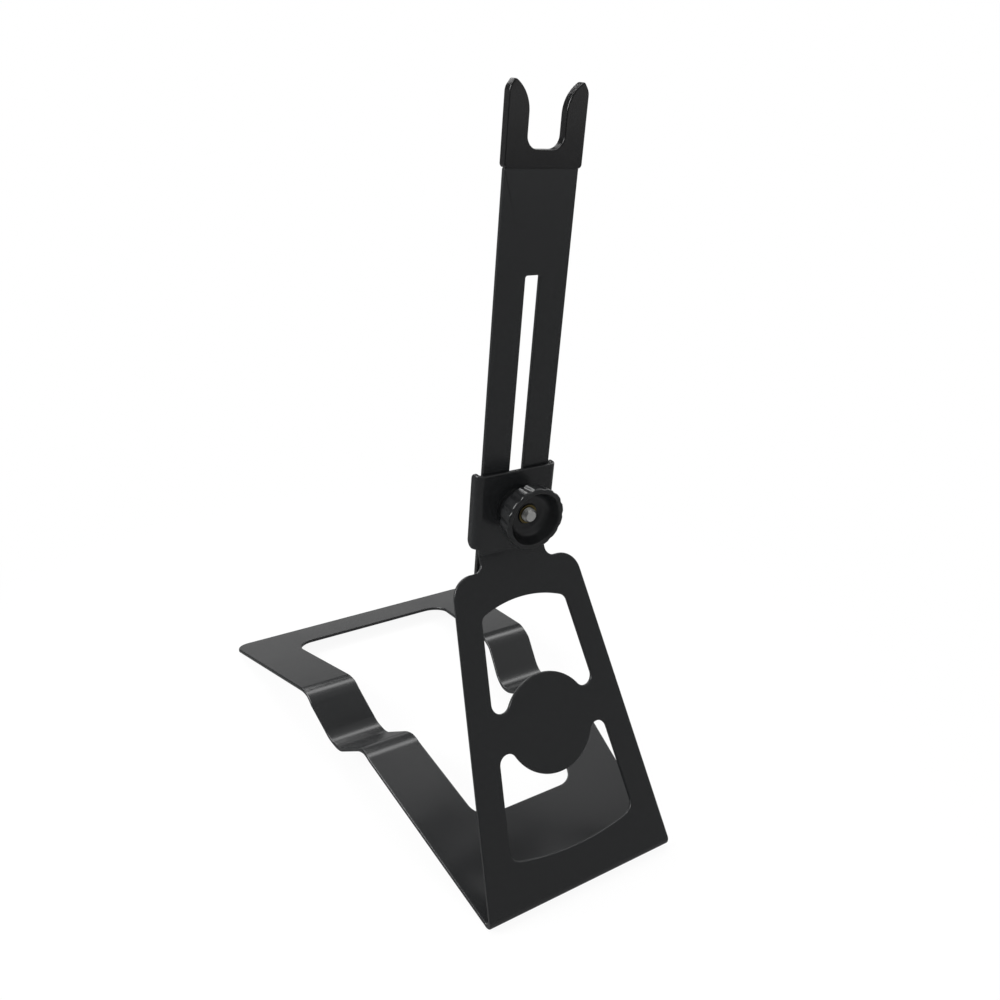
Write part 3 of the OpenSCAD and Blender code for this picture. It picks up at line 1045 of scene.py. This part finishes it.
@dataclass
class CarriageBolt:
    """The M8 carriage bolt: domed head and square neck behind the post, thread in the knob."""

    axis: BoltAxis
    material: Material
    seat: float
    length: float = 20.0 * MM
    major_r: float = 3.98 * MM
    minor_r: float = 3.30 * MM
    pitch: float = 1.25 * MM
    turns: int = 11
    chamfer: float = 1.0 * MM
    neck: float = 8.0 * MM
    neck_len: float = 4.5 * MM
    neck_lap: float = 0.2 * MM
    neck_edge: EdgeRound = EdgeRound(0.5 * MM)
    head_r: float = 10.3 * MM
    head_h: float = 4.6 * MM
    head_gap: float = 0.1 * MM
    head_rim: tuple[Point, ...] = ((0.10 * MM, -0.22 * MM), (0.0, -0.12 * MM), (0.08 * MM, 0.0))
    dome_steps: int = 16
    head_steps: int = 72
    thread_steps: tuple[int, int] = (48, 12)
    crest_flat: float = 0.12
    flank: float = 0.7
    root_round: float = 0.3
    core_steps: int = 64
    end_gap: float = 0.4 * MM
    end_face: tuple[Point, ...] = ((0.0, 0.0), (0.25 * MM, -0.02 * MM), (0.6 * MM, -0.10 * MM))
    end_middle: tuple[Point, ...] = ((0.4, -0.14 * MM), (0.0, -0.15 * MM))

    def head(self) -> Piece:
        """The domed head with its round rim and flat seat.

        Returns:
            The head.
        """
        sphere = (self.head_r ** 2 + self.head_h ** 2) / (2 * self.head_h)
        reach = math.asin(self.head_r / sphere)
        angles = [reach * k / self.dome_steps for k in range(1, self.dome_steps)]
        dome = [(sphere * math.sin(a), sphere - self.head_h - sphere * math.cos(a)) for a in angles]
        rim = [(self.head_r - inward, up) for inward, up in self.head_rim]
        outline = [(0.0, -self.head_h)] + dome + rim + [(0.0, 0.0)]
        # The head stands a hair off the post, whose coat it would rub off when the post slides
        placed = [(r, up + self.seat - self.head_gap) for r, up in outline]
        return finished(self.axis.turned(placed, self.head_steps), "bolt_head")

    def square_neck(self) -> Piece:
        """The square neck, with the soft corners of a forged one.

        Returns:
            The neck.
        """
        work = bmesh.new()
        bmesh.ops.create_cube(work, size=1)
        size = (self.neck, self.neck_len + self.neck_lap, self.neck)
        bmesh.ops.scale(work, vec=size, verts=work.verts)
        middle = self.axis.y - self.seat - (self.neck_len - self.neck_lap) / 2
        bmesh.ops.translate(work, vec=(0, middle, self.axis.z), verts=work.verts)
        return self.neck_edge.apply_to(finished(work, "bolt_neck"))

    def thread(self) -> Piece:
        """The rolled thread and the chamfered end.

        Returns:
            The threaded end.
        """
        around, across = self.thread_steps
        middle = BoltAxis(0.0, 0.0)
        rows = []
        for i in range(around + 1):
            angle = 2 * math.pi * i / around
            row = []
            for k in range(across + 1):
                share = k / across
                down = limited((abs(2 * share - 1) - self.crest_flat) / self.flank)
                down = eased(down) * self.root_round + down * (1 - self.root_round)
                radius = self.major_r - (self.major_r - self.minor_r) * down
                row.append(middle.point(radius, self.pitch * (share + i / around), angle))
            rows.append(row)
        piece = finished(surface(rows), "bolt_thread")
        Repeat(self.material).run(piece, self.turns, shift=(0, -self.pitch, 0))
        start = self.seat + self.length - (self.turns - 0.5) * self.pitch
        end = self.seat + self.length
        with opened(piece) as work:
            for vert in work.verts:
                up = min(end, start - vert.co.y)
                limit = self.major_r - max(0.0, up - (end - self.chamfer))
                flat = Vector((vert.co.x, 0, vert.co.z))
                flat *= min(1.0, limit / flat.length)
                vert.co = Vector((flat.x, self.axis.y - up, self.axis.z + flat.z))
            # Points that the chamfer and the flat end drew together become one
            bmesh.ops.remove_doubles(work, verts=work.verts, dist=0.01 * MM)
            bmesh.ops.dissolve_degenerate(work, edges=work.edges, dist=0.005 * MM)
            bmesh.ops.recalc_face_normals(work, faces=work.faces)
            for face in work.faces:
                face.smooth = True
        return piece

    def core(self) -> Piece:
        """The shank inside the thread, which closes the chamfered end with a slightly hollow face.

        Returns:
            The core.
        """
        end = self.seat + self.length
        tip = self.major_r - self.chamfer
        shank = [(0.0, self.seat), (self.minor_r, self.seat), (self.minor_r, end - self.end_gap)]
        face = [(tip - inward, end + up) for inward, up in self.end_face]
        middle = [(tip * share, end + up) for share, up in self.end_middle]
        return finished(self.axis.turned(shank + face + middle, self.core_steps), "bolt_core")

    def build(self) -> Piece:
        """Builds the bolt as one piece.

        Returns:
            The finished piece.
        """
        parts = [self.head(), self.square_neck(), self.thread(), self.core()]
        bolt = joined(parts, "carriage_bolt")
        paint(bolt, self.material)
        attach(bolt, Body.FRAME.value)
        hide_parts("clamp_bolt")
        return bolt


# --- studio


@dataclass(frozen=True)
class SoftBox:
    """A rectangular lamp that faces the stand, and whether glossy faces mirror it."""

    name: str
    place: Triple
    size: tuple[float, float]
    power: float
    mirrored: bool = True

    def build(self, target: Vector) -> None:
        """Puts the lamp up.

        Args:
            target: The point that it faces.
        """
        lamp = bpy.data.lights.new(self.name, "AREA")
        lamp.shape = "RECTANGLE"
        lamp.size, lamp.size_y = self.size
        lamp.energy = self.power
        holder = bpy.data.objects.new(self.name, lamp)
        bpy.context.scene.collection.objects.link(holder)
        holder.location = self.place
        holder.rotation_euler = (target - Vector(self.place)).to_track_quat("-Z", "Y").to_euler()
        holder.visible_glossy = self.mirrored


@dataclass
class Studio:
    """Camera, lamps, world and floor."""

    target: Vector
    lens: float = 33.12
    place: Triple = (-0.2621, -0.42048, 0.4126)
    right: Triple = (0.84127, -0.53585, 0.07161)
    up: Triple = (0.17928, 0.40149, 0.89815)
    forward: Triple = (0.51002, 0.74275, -0.43383)
    # Degrees from the horizon behind the stand, over the top, to the one in front, and the level
    room: tuple[Point, ...] = (
        (0, 0.16), (6, 0.155), (8, 0.09), (12, 0.02), (48, 0.03), (55, 1.0), (62, 1.0), (66, 0.09),
        (73, 0.07), (78, 0.16), (84, 0.08), (95, 0.10), (115, 0.10), (132, 0.055), (180, 0.05),
    )
    room_level: float = 6.0
    room_left: Point = (-0.5, -0.05)
    left_level: float = 0.24
    floor_half: float = 6.0
    floor_drop: float = 0.02 * MM
    # The paper's glow to mirrored rays, dimmed in front and on the left as painted shade
    floor_left: Point = (-0.9, 0.1)
    floor_front: Point = (0.4, 1.6)
    front_paper: float = 0.26
    back_paper: float = 0.9
    shadow_run: Point = (0.16, 0.42)
    shadow_share: float = 0.08
    lamps: list[SoftBox] = field(default_factory=lambda: [
        SoftBox("back_softbox", (0.10, 1.68, 1.25), (0.75, 0.35), 7.0),
        SoftBox("left_softbox", (-1.6, 0.6, 1.15), (1.0, 1.0), 34.0),
        SoftBox("front_fill", (-1.1, -1.6, 1.1), (1.0, 1.0), 20.0, mirrored=False),
    ])

    def camera(self) -> None:
        """Puts the camera where the photograph was taken."""
        data = bpy.data.cameras.new("camera")
        data.lens = self.lens
        data.sensor_width = 36
        data.clip_start = 0.01
        holder = bpy.data.objects.new("camera", data)
        bpy.context.scene.collection.objects.link(holder)
        turn = Matrix((self.right, self.up, [-c for c in self.forward])).transposed().to_4x4()
        holder.matrix_world = Matrix.Translation(self.place) @ turn
        bpy.context.scene.camera = holder

    def fade(self, tree: Tree, along: Socket, run: Point, levels: Point) -> Socket:
        """Eases from one level to the other while a value passes through a run."""
        values = dict(enumerate((*run, *levels), 1))
        return add_node(tree, "ShaderNodeMapRange", {"interpolation_type": "SMOOTHSTEP"}, values,
                        {0: along}).outputs[0]

    def shows_paper(self, tree: Tree) -> Socket:
        """Tells the rays that see the paper from those that only light the object.

        Args:
            tree: The tree of the floor.

        Returns:
            A socket that is 1 for camera, glossy and transmission rays and 0 for the others.
        """
        path = add_node(tree, "ShaderNodeLightPath").outputs
        mirrored = add_node(tree, "ShaderNodeMath", {"operation": "MAXIMUM"},
                            links={0: path["Is Glossy Ray"], 1: path["Is Transmission Ray"]})
        seen = add_node(tree, "ShaderNodeMath", {"operation": "MAXIMUM"},
                        links={0: path["Is Camera Ray"], 1: mirrored.outputs[0]})
        return seen.outputs[0]

    def world(self) -> None:
        """Makes the backdrop, white to the camera and a lit room to the other rays."""
        world = bpy.data.worlds.new("studio")
        bpy.context.scene.world = world
        world.use_nodes = True
        tree = world.node_tree
        tree.nodes.clear()
        path = add_node(tree, "ShaderNodeLightPath").outputs
        way = add_node(tree, "ShaderNodeTexCoord").outputs["Generated"]
        parts = add_node(tree, "ShaderNodeSeparateXYZ", links={0: way}).outputs
        # Turn about X from the horizon behind the stand, over the top, to the one in front, as 0 to 1
        turn = add_node(tree, "ShaderNodeMath", {"operation": "ARCTAN2"},
                        links={0: parts["Z"], 1: parts["Y"]})
        share = add_node(tree, "ShaderNodeMath", {"operation": "DIVIDE"}, {1: math.pi},
                         {0: turn.outputs[0]})
        # Lit paper behind, a dim gap, a bright band, a pale ceiling and a dim room in front
        ramp = add_node(tree, "ShaderNodeValToRGB", links={0: share.outputs[0]})
        stops = ramp.color_ramp.elements
        for place, level in zip((0.0, 1.0), (self.room[0][1], self.room[-1][1])):
            stops[int(place)].position = place
            stops[int(place)].color = (level, level, level, 1.0)
        for degrees, level in self.room[1:-1]:
            stops.new(degrees / 180).color = (level, level, level, 1.0)
        # The paper ends on the left, where the stand's sides reflect a dim room
        side = self.fade(tree, parts["X"], self.room_left,
                         (self.room_level * self.left_level, self.room_level))
        room = add_node(tree, "ShaderNodeMath", {"operation": "MULTIPLY"},
                        links={0: ramp.outputs["Color"], 1: side})
        level = add_node(tree, "ShaderNodeMix", {"data_type": "FLOAT"}, {3: 1.0},
                         {0: path["Is Camera Ray"], 2: room.outputs[0]})
        shade = add_node(tree, "ShaderNodeBackground", values={"Color": (1, 1, 1, 1)},
                         links={"Strength": level.outputs[0]})
        add_node(tree, "ShaderNodeOutputWorld", links={"Surface": shade.outputs[0]})

    def floor(self) -> None:
        """Lays the white floor, which keeps a faint shadow of the stand."""
        work = bmesh.new()
        bmesh.ops.create_grid(work, x_segments=1, y_segments=1, size=self.floor_half)
        bmesh.ops.translate(work, vec=(0, 0, -self.floor_drop), verts=work.verts)
        mesh = bpy.data.meshes.new("paper_floor")
        work.to_mesh(mesh)
        work.free()
        paper = bpy.data.materials.new("white_paper")
        paper.use_nodes = True
        tree = paper.node_tree
        tree.nodes.clear()
        place = add_node(tree, "ShaderNodeTexCoord").outputs["Object"]
        parts = add_node(tree, "ShaderNodeSeparateXYZ", links={0: place}).outputs
        away = add_node(tree, "ShaderNodeVectorMath", {"operation": "LENGTH"}, links={0: place})
        # For mirrored rays the paper's glow in front and on the left is dimmed as painted shade, as the
        # dull front of the stand shows
        front = self.fade(tree, parts["Y"], self.floor_front, (self.front_paper, self.back_paper))
        side = self.fade(tree, parts["X"], self.floor_left, (self.left_level, 1.0))
        dim = add_node(tree, "ShaderNodeMath", {"operation": "MULTIPLY"}, links={0: front, 1: side})
        path = add_node(tree, "ShaderNodeLightPath").outputs
        strength = add_node(tree, "ShaderNodeMix", {"data_type": "FLOAT"}, {3: 1.0},
                            {0: path["Is Camera Ray"], 2: dim.outputs[0]})
        matt = add_node(tree, "ShaderNodeBsdfDiffuse", values={"Color": linear("#f4f4f4")})
        glow = add_node(tree, "ShaderNodeEmission", values={"Color": (1, 1, 1, 1)},
                        links={"Strength": strength.outputs[0]})
        # Close to the stand a small share takes its shadow, and further off the paper is plain white
        shadowed = self.fade(tree, away.outputs["Value"], self.shadow_run, (self.shadow_share, 0.0))
        seen = add_node(tree, "ShaderNodeMixShader",
                        links={0: shadowed, 1: glow.outputs[0], 2: matt.outputs[0]})
        whole = add_node(tree, "ShaderNodeMixShader",
                         links={0: self.shows_paper(tree), 1: matt.outputs[0], 2: seen.outputs[0]})
        add_node(tree, "ShaderNodeOutputMaterial", links={"Surface": whole.outputs[0]})
        mesh.materials.append(paper)
        new_object("paper_floor", mesh)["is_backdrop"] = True

    def build(self) -> None:
        """Sets the studio up."""
        scene = bpy.context.scene
        scene.view_settings.view_transform = "Standard"
        self.camera()
        self.world()
        self.floor()
        for lamp in self.lamps:
            lamp.build(self.target)


# --- main


def corners() -> list[list[float]]:
    """The lowest and highest corner of everything shown, as plain lists of numbers."""
    low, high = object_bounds()
    return [[float(c) for c in low], [float(c) for c in high]]


def main() -> None:
    """Builds the stand and its studio, and reports each piece."""
    logging.basicConfig(level=logging.INFO, format="%(message)s")
    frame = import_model()

    bolt_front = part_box("clamp_bolt")[0].y
    washer_low, washer_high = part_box("knob_washer")
    axis = BoltAxis(washer_high.y, (washer_low.z + washer_high.z) / 2)
    centre = (0.0, 0.0, axis.z)

    coat = PowderCoat("satin_black_powder_coat", "#191a1b", 0.25).material()
    cap = GlossPlastic("glossy_black_abs", "#0e0e0f", 0.2).material()
    polyamide = SatinPlastic("satin_black_polyamide", "#161718", 0.30).material()
    zinc = TurnedMetal("bright_zinc_plated_steel", "#f2f2ee", 0.34, metallic=1.0, centre=centre,
                       dull="#d4d6d6").material()
    # The brass and its dull clouds are much darker than bright brass, as painted shade of its place deep in
    # the knob's cup
    brass = TurnedMetal("turned_brass", "#8a7c52", 0.34, metallic=1.0, centre=centre,
                        dull="#5c5234").material()

    Studio(Vector((0, 0, STAND_MIDDLE))).build()
    pieces = CutAndTurned(frame, coat, zinc, brass).build()
    pieces.append(ForkCap(*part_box("fork_cap"), cap).build())
    pieces.append(ClampKnob(axis, polyamide, axis.y - washer_low.y).build())
    pieces.append(CarriageBolt(axis, zinc, axis.y - bolt_front - DRAWN_BOLT).build())
    for piece in pieces:
        LOG.info("%s: %d faces", piece.name, len(piece.data.polygons))


if __name__ == "__main__":
    main()
